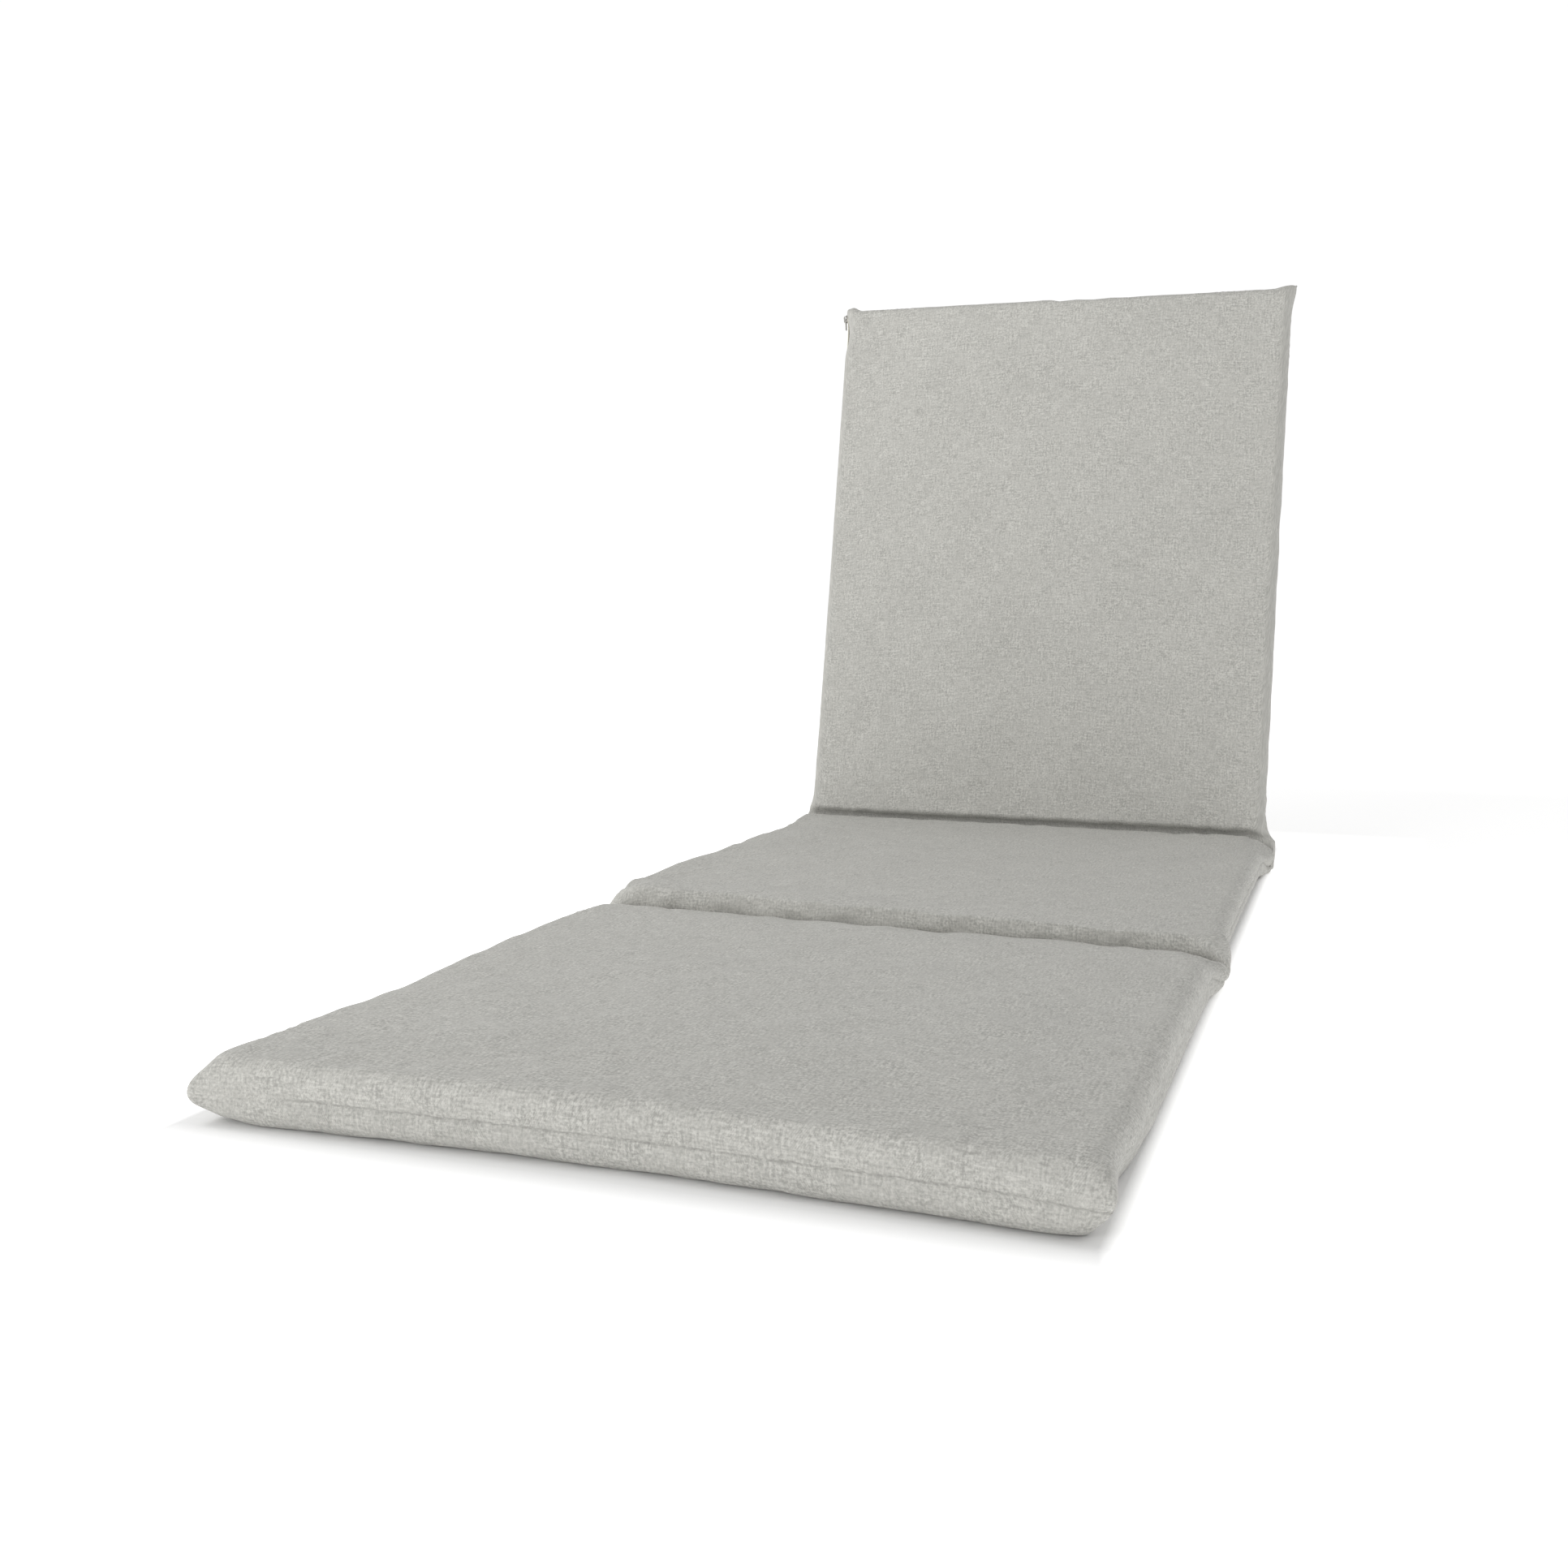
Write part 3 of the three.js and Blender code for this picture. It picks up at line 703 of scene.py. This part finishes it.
def make_chain():
    """Two rows of coiled teeth that mesh along the middle."""
    parts = []
    half, middle_out = CHAIN["width"] / 2, CHAIN_OUT + 0.5 * CHAIN["thickness"]
    outward = np.array((-1.0, 0, 0))
    count = int((CHAIN["to"] - CHAIN["from"] - 2 * TOOTH_RADIUS) / (TOOTH_PITCH / 2))
    for n in range(count):
        from_head = CHAIN["from"] + TOOTH_RADIUS + n * TOOTH_PITCH / 2
        hand = 1 if n % 2 else -1
        inner = zip_point(from_head, middle_out, -TOOTH_OVERLAP * hand)
        outer = zip_point(from_head + TOOTH_SLANT, middle_out, half * hand)
        parts.append(lozenge(inner, outer, TOOTH_RADIUS, outward, 8))
    return mesh_object("zip_teeth", *joined(parts))


def zip_axes(from_head, out):
    """Place beside the zip, and the directions down along the seam, out from it and across it."""
    origin = zip_point(from_head, out, 0)
    down = zip_point(from_head + 10, out, 0) - origin
    down /= np.linalg.norm(down)
    across = -FRAMES[2][2]
    outward = np.cross(across, down)
    return origin, np.stack([down, outward / np.linalg.norm(outward), across])


def arc_points(centre, radius, start, end, steps=10):
    angles = np.radians(np.linspace(start, end, steps + 1))
    return [(centre[0] + radius * math.cos(a), centre[1] + radius * math.sin(a)) for a in angles]


def prism(outline, low, high, lift):
    """An outline drawn along two axes, with a thickness on the third. lift is 1 for outward, 2 for across."""
    flat = np.array(outline)
    layers = []
    for height in (low, high):
        layer = np.zeros((len(flat), 3))
        layer[:, 0] = flat[:, 0]
        layer[:, 3 - lift] = flat[:, 1]
        layer[:, lift] = height
        layers.append(layer)
    count = len(flat)
    faces = [tuple(range(count))[::-1], tuple(range(count, 2 * count))]
    faces += [(k, (k + 1) % count, count + (k + 1) % count, count + k) for k in range(count)]
    return np.concatenate(layers), faces


def holed_plate(outline, hole, low, high):
    """A plate with one hole, both drawn down along the seam and across it, with its thickness outward."""
    loops = [[Vector((x, y, 0)) for x, y in loop] for loop in (outline, hole)]
    flat = outline + hole
    count = len(flat)
    points = [(x, height, y) for height in (low, high) for x, y in flat]
    triangles = tessellate_polygon(loops)
    faces = [tuple(t)[::-1] for t in triangles] + [tuple(count + k for k in t) for t in triangles]
    for first, size in ((0, len(outline)), (len(outline), len(hole))):
        for k in range(size):
            a, b = first + k, first + (k + 1) % size
            faces.append((a, b, count + b, count + a))
    return np.array(points), faces


BEVEL_STEPS, BEVEL_ANGLE = 3, 35


def metal_piece(name, parts, from_head, out, bevel):
    origin, axes = zip_axes(from_head, out)
    points, faces = joined(parts)
    piece = mesh_object(name, points @ axes + origin, faces)
    work = bmesh.new()
    work.from_mesh(piece.data)
    bmesh.ops.recalc_face_normals(work, faces=work.faces)
    work.to_mesh(piece.data)
    work.free()
    rounding = piece.modifiers.new("Rounded edges", "BEVEL")
    rounding.width = bevel * MM
    rounding.segments = BEVEL_STEPS
    rounding.limit_method = "ANGLE"
    rounding.angle_limit = math.radians(BEVEL_ANGLE)
    return piece


def make_slider():
    s = SLIDER
    wide = s["width"] / 2
    narrow = wide - 1
    plate = [(wide, -wide), *arc_points((s["length"] - narrow, 0), narrow, -90, 90),
             *arc_points((wide, 0), wide, 90, 270)[:-1]]
    under, top = s["plate"] + s["opening"], s["plate"] + s["opening"] + s["bar"]
    low, far = s["inset"], s["length"] - s["inset"]
    bridge = [(low, 0.5 * s["plate"]), (low + s["leg"], 0.5 * s["plate"]),
              (low + s["leg"], under), (far - s["leg"], under), (far - s["leg"], 0.5 * s["plate"]),
              (far, 0.5 * s["plate"]), (far, under - 0.3), (far - 0.4, top - 0.3), (far - 1.2, top),
              (low + 1.2, top), (low + 0.4, top - 0.3), (low, under - 0.3)]
    half = 0.5 * s["bridge"]
    parts = [prism(plate, 0, s["plate"], 1), prism(bridge, -half, half, 2)]
    return metal_piece("zip_slider_metal", parts, s["from"], SLIDER_OUT, 0.28)


def make_pull():
    p = PULL
    half = p["width"] / 2
    thick = 0.5 * p["thickness"]
    near, far, side = p["arm"], p["arm"] + p["hole"], half - p["arm"]
    outline = [(0, -half), *arc_points((p["length"] - half, 0), half, -90, 90), (0, half)]
    hole = [(near, -side), (near, side), (far, side), (far, -side)]
    out = SLIDER_OUT + SLIDER["plate"] + 0.5 * SLIDER["opening"]
    return metal_piece("zip_pull_metal", [holed_plate(outline, hole, -thick, thick)], p["from"], out, 0.2)


# Materials
class Nodes:
    """Short way to add and join the nodes of one material. Lengths in materials are in metres."""

    def __init__(self, name):
        self.material = bpy.data.materials.new(name)
        self.material.use_nodes = True
        self.tree = self.material.node_tree
        self.shader = self.tree.nodes["Principled BSDF"]

    def set(self, **values):
        for name, value in values.items():
            self.shader.inputs[name.replace("_", " ")].default_value = value

    def add(self, kind, *inputs, **settings):
        node = self.tree.nodes.new(kind)
        for name, value in settings.items():
            setattr(node, name, value)
        for key, value in inputs:
            self.put(node.inputs[key], value)
        return node

    def put(self, socket, value):
        if isinstance(value, bpy.types.NodeSocket):
            self.tree.links.new(value, socket)
        else:
            socket.default_value = value

    def math(self, operation, a, b=0.0, clamp=False):
        node = self.add("ShaderNodeMath", (0, a), (1, b), operation=operation, use_clamp=clamp)
        return node.outputs[0]

    def noise(self, vector, scale, detail=2.0, roughness=0.5):
        stretched = self.add("ShaderNodeVectorMath", (0, vector), (1, scale), operation="MULTIPLY")
        node = self.add("ShaderNodeTexNoise", ("Vector", stretched.outputs[0]), ("Scale", 1.0),
                        ("Detail", detail), ("Roughness", roughness))
        return node.outputs[0]

    def span(self, value, low, high, to_low, to_high):
        node = self.add("ShaderNodeMapRange", (0, value), (1, low), (2, high), (3, to_low), (4, to_high))
        return node.outputs[0]

    def mix(self, factor, a, b):
        node = self.add("ShaderNodeMix", (0, factor), (6, a), (7, b), data_type="RGBA")
        return node.outputs[2]

    def bump(self, height, strength, distance, normal=None):
        node = self.add("ShaderNodeBump", ("Strength", strength), ("Distance", distance),
                        ("Height", height))
        if normal is not None:
            self.put(node.inputs["Normal"], normal)
        return node.outputs[0]


THREAD_PITCH = 0.00085
TWILL_PITCH = 0.00135
GRAIN = 2.1                  # size of the melange's specks
SLUBS = ((1.2, 8, 0.28), (2.3, 17, 0.3))  # width, length and share of the thick places in the yarn
DARK_YARN = (0.36, 0.3555, 0.332, 1)
LIGHT_YARN = (0.60, 0.593, 0.556, 1)
# colour of the painted shade in the seam grooves and fold creases
CREASE_SHADE = (0.26, 0.256, 0.238, 1)


def cover_fabric():
    n = Nodes("cover_fabric")
    n.set(Roughness=0.92, Specular_IOR_Level=0.25, Sheen_Weight=0.12, Sheen_Roughness=0.45)
    cloth = n.add("ShaderNodeUVMap", uv_map="Cloth").outputs[0]
    apart = n.add("ShaderNodeSeparateXYZ", (0, cloth))
    across_at, ahead_at = apart.outputs[0], apart.outputs[1]

    # Melange yarns: specks all over, short thick places along both directions of the weave
    grain = 1000 / GRAIN
    specks = n.noise(cloth, (grain, grain, 1), 3, 0.65)
    mixed = n.math("MULTIPLY", specks, 1 - sum(share for _, _, share in SLUBS))
    for width, length, share in SLUBS:
        for scale in ((1000 / width, 1000 / length, 1), (1000 / length, 1000 / width, 1)):
            yarns = n.noise(cloth, scale, 2, 0.55)
            mixed = n.math("ADD", mixed, n.math("MULTIPLY", yarns, 0.5 * share))
    patches = n.noise(cloth, (38, 38, 1), 2, 0.5)
    contrast = n.span(patches, 0.35, 0.65, 4.2, 7.8)
    tone = n.math("MULTIPLY", n.math("SUBTRACT", mixed, 0.5), contrast)
    clouds = n.noise(cloth, (12, 12, 1), 3, 0.55)
    tone = n.math("ADD", tone, n.span(clouds, 0.3, 0.7, 0.44, 0.56))

    # Diagonal ribs of the weave, which show in patches
    slanted = n.math("ADD", n.math("MULTIPLY", across_at, 0.87), n.math("MULTIPLY", ahead_at, -0.5))
    ribs = n.math("SINE", n.math("MULTIPLY", slanted, 2 * math.pi / TWILL_PITCH))
    rib_patches = n.span(n.noise(cloth, (44, 44, 1), 2), 0.5, 0.64, 0, 1)
    ribbed = n.math("MULTIPLY", ribs, rib_patches)
    tone = n.math("ADD", tone, n.math("MULTIPLY", ribbed, 0.13), clamp=True)
    yarn = n.mix(tone, DARK_YARN, LIGHT_YARN)

    # Painted shade: a thin broken dark line along the sewn seams and folds, shade painted into their grooves
    # and creases
    seam = n.add("ShaderNodeAttribute", attribute_name="SeamDistance").outputs["Fac"]
    shows = n.add("ShaderNodeAttribute", attribute_name="SeamShows").outputs["Fac"]
    fold = n.add("ShaderNodeAttribute", attribute_name="FoldDistance").outputs["Fac"]
    # painted shade: where the seam line darkens the cloth and where it breaks up
    broken = n.span(n.noise(cloth, (160, 160, 1), 2), 0.4, 0.58, 0.15, 1)
    line = n.span(seam, 0.0003, 0.0012, 0.62, 0)
    seam_shade = n.math("MULTIPLY", line, n.math("MULTIPLY", broken, shows))
    fold_shade = n.span(fold, 0.0006, 0.003, 0.6, 0)
    crease_shade = n.math("MAXIMUM", seam_shade, fold_shade)
    n.put(n.shader.inputs["Base Color"], n.mix(crease_shade, yarn, CREASE_SHADE))

    across = n.math("SINE", n.math("MULTIPLY", across_at, 2 * math.pi / THREAD_PITCH))
    ahead = n.math("SINE", n.math("MULTIPLY", ahead_at, 2 * math.pi / THREAD_PITCH))
    woven = n.math("MULTIPLY", across, ahead)
    height = n.math("ADD", n.math("MULTIPLY", woven, 0.15), n.math("MULTIPLY", ribbed, 0.2))
    height = n.math("ADD", height, mixed)
    n.put(n.shader.inputs["Normal"], n.bump(height, 0.5, 0.0004))
    return n.material


def tape_cloth():
    n = Nodes("zip_tape_cloth")
    n.set(Roughness=0.85, Specular_IOR_Level=0.3, Sheen_Weight=0.1)
    along = n.add("ShaderNodeAttribute", attribute_name="TapeAlong").outputs["Fac"]
    across = n.add("ShaderNodeAttribute", attribute_name="TapeAcross").outputs["Fac"]
    folded = n.math("PINGPONG", across, 0.0016)
    ribs = n.math("SINE", n.math("MULTIPLY", n.math("ADD", along, folded), 2 * math.pi / 0.0011))
    place = n.add("ShaderNodeCombineXYZ", (0, along), (1, across)).outputs[0]
    mottle = n.noise(place, (300, 500, 1), 3, 0.6)
    tone = n.math("ADD", n.math("MULTIPLY", ribs, 0.12), mottle)
    n.put(n.shader.inputs["Base Color"], n.mix(n.span(tone, 0.2, 0.85, 0, 1),
                                               (0.74, 0.71, 0.60, 1), (0.90, 0.875, 0.78, 1)))
    n.put(n.shader.inputs["Normal"], n.bump(tone, 0.6, 0.0003))
    return n.material


def teeth_plastic():
    n = Nodes("zip_teeth")
    n.set(Roughness=0.38, Specular_IOR_Level=0.5, Coat_Weight=0.1)
    place = n.add("ShaderNodeTexCoord").outputs["Object"]
    mottle = n.noise(place, (180, 180, 180), 2)
    n.put(n.shader.inputs["Base Color"], n.mix(n.span(mottle, 0.35, 0.65, 0, 1),
                                               (0.50, 0.48, 0.41, 1), (0.60, 0.58, 0.51, 1)))
    return n.material


def zip_metal():
    n = Nodes("zip_metal")
    n.set(Metallic=1.0)
    place = n.add("ShaderNodeTexCoord").outputs["Object"]
    wear = n.noise(place, (900, 900, 900), 4, 0.6)
    brushed = n.noise(place, (4000, 400, 400), 2)
    n.put(n.shader.inputs["Base Color"], n.mix(n.span(wear, 0.3, 0.7, 0, 1),
                                               (0.27, 0.265, 0.25, 1), (0.45, 0.44, 0.415, 1)))
    n.put(n.shader.inputs["Roughness"], n.span(wear, 0.3, 0.7, 0.26, 0.46))
    n.put(n.shader.inputs["Normal"], n.bump(brushed, 0.15, 0.0001))
    return n.material


def thread():
    n = Nodes("fold_thread")
    n.set(Roughness=0.7, Specular_IOR_Level=0.35, Sheen_Weight=0.1)
    place = n.add("ShaderNodeTexCoord").outputs["Object"]
    twist = n.noise(place, (2600, 900, 900), 2)
    n.put(n.shader.inputs["Base Color"], n.mix(n.span(twist, 0.35, 0.65, 0, 1),
                                               (0.36, 0.355, 0.33, 1), (0.50, 0.495, 0.465, 1)))
    n.put(n.shader.inputs["Normal"], n.bump(twist, 0.5, 0.0002))
    return n.material


def finish_piece(piece, material, slot, *nodes):
    piece.data.materials.append(material)
    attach(piece, BODY)
    if nodes:
        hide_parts(*nodes)


cushion, fold_rows = make_cushion()
fabric = cover_fabric()
finish_piece(cushion, fabric, "cover_fabric", "cushion")

stitches = make_stitches(fold_rows)
finish_piece(stitches, thread(), "cover_fabric")

tape = make_tape()
finish_piece(tape, tape_cloth(), "zip_tape_cloth", "zip_tape")
teeth = make_chain()
finish_piece(teeth, teeth_plastic(), "zip_teeth", "zip_chain")
metal = zip_metal()
slider = make_slider()
finish_piece(slider, metal, "zip_metal", "zip_slider")
pull = make_pull()
finish_piece(pull, metal, "zip_metal", "zip_pull")


# Floor and light
# How far from the cushion the floor's glow changes, in metres, and how strong it is from there on. The glow
# is painted light, and its dip next to the cushion is a painted shadow, whose width and middle the lines
# below set
GLOW_NEAR, GLOW_BESIDE, GLOW_FAR, GLOW_OUT = (0.0, 0.0), (0.05, 0.52), (0.2, 0.33), (1.3, 0.5)
SIDE_SHADOW = 5              # how many times narrower the shadow is at the sides than at the ends
SHADOW_MIDDLE = -0.008       # the middle of the shadow from side to side
SHADOW_HALF_WIDTH, SHADOW_HALF_LENGTH = 0.3, 0.71  # where it starts beside and before the middle
FLOOR_HALF, FLOOR_LEVEL = 8000, -0.4


def make_floor():
    """White floor that glows a little, least under and beside the cushion: the glow is painted light, and its
    dip there paints the cushion's shadow on the floor.
    """
    corners = [(x * FLOOR_HALF, y * FLOOR_HALF, FLOOR_LEVEL) for x, y in ((-1, -1), (1, -1), (1, 1), (-1, 1))]
    floor = mesh_object("floor", corners, [(0, 1, 2, 3)], False)
    n = Nodes("floor")
    n.set(Base_Color=(0.97, 0.97, 0.97, 1), Roughness=0.9, Specular_IOR_Level=0.0,
          Emission_Color=(1, 1, 1, 1))
    apart = n.add("ShaderNodeSeparateXYZ", (0, n.add("ShaderNodeTexCoord").outputs["Object"]))
    sideways = n.math("ADD", apart.outputs[0], -SHADOW_MIDDLE)
    beside = n.math("SUBTRACT", n.math("ABSOLUTE", sideways), SHADOW_HALF_WIDTH)
    before = n.math("SUBTRACT", n.math("ABSOLUTE", apart.outputs[1]), SHADOW_HALF_LENGTH)
    shadow = n.math("MAXIMUM", n.math("MULTIPLY", beside, SIDE_SHADOW), before)
    away = n.math("MAXIMUM", beside, before)
    glow = n.span(shadow, GLOW_NEAR[0], GLOW_BESIDE[0], GLOW_NEAR[1], GLOW_BESIDE[1])
    for inner, outer in ((GLOW_BESIDE, GLOW_FAR), (GLOW_FAR, GLOW_OUT)):
        start = lerp(inner[0], outer[0], 0.5)
        glow = n.math("ADD", glow, n.span(away, start, outer[0], 0, outer[1] - inner[1]))
    # painted light: the floor's glow, lowest beside the cushion as a painted shadow
    n.put(n.shader.inputs["Emission Strength"], glow)
    floor.data.materials.append(n.material)


def add_light(name, place, target, size, power):
    data = bpy.data.lights.new(name, "AREA")
    data.shape = "DISK"
    data.size = size
    data.energy = power
    light = bpy.data.objects.new(name, data)
    light.location = place
    light.rotation_euler = (Vector(target) - Vector(place)).to_track_quat("-Z", "Y").to_euler()
    bpy.context.scene.collection.objects.link(light)


SKY, SKY_BEHIND = 0.65, 1.02
SKY_LOW = (0.34, 0.44)       # heights between which the white ends
SKY_ROUND = (-0.2, 0.1)      # how far to the back it starts and is whole


def make_world():
    """White low behind the cushion and greyer elsewhere."""
    world = bpy.data.worlds.new("World")
    world.use_nodes = True
    tree = world.node_tree
    place = tree.nodes.new("ShaderNodeTexCoord")
    apart = tree.nodes.new("ShaderNodeSeparateXYZ")
    tree.links.new(place.outputs["Generated"], apart.inputs[0])
    low = tree.nodes.new("ShaderNodeMapRange")
    behind = tree.nodes.new("ShaderNodeMapRange")
    ranges = ((low, 2, (*SKY_LOW, 1, 0)), (behind, 1, (*SKY_ROUND, 0, SKY_BEHIND - SKY)))
    for node, output, values in ranges:
        tree.links.new(apart.outputs[output], node.inputs[0])
        for number, value in enumerate(values, 1):
            node.inputs[number].default_value = value
    both = tree.nodes.new("ShaderNodeMath")
    both.operation = "MULTIPLY_ADD"
    tree.links.new(low.outputs[0], both.inputs[0])
    tree.links.new(behind.outputs[0], both.inputs[1])
    both.inputs[2].default_value = SKY
    tree.links.new(both.outputs[0], tree.nodes["Background"].inputs[1])
    tree.nodes["Background"].inputs[0].default_value = (1, 1, 1, 1)
    bpy.context.scene.world = world


make_floor()
make_world()
add_light("Key", (-1.3, -3.0, 0.95), (0, 0.1, 0.25), 1.1, 20.2)
add_light("Side", (-1.2, -0.6, 1.4), (-0.2, 0.68, 0.6), 0.9, 7.6)
bpy.context.scene.view_settings.view_transform = "Standard"
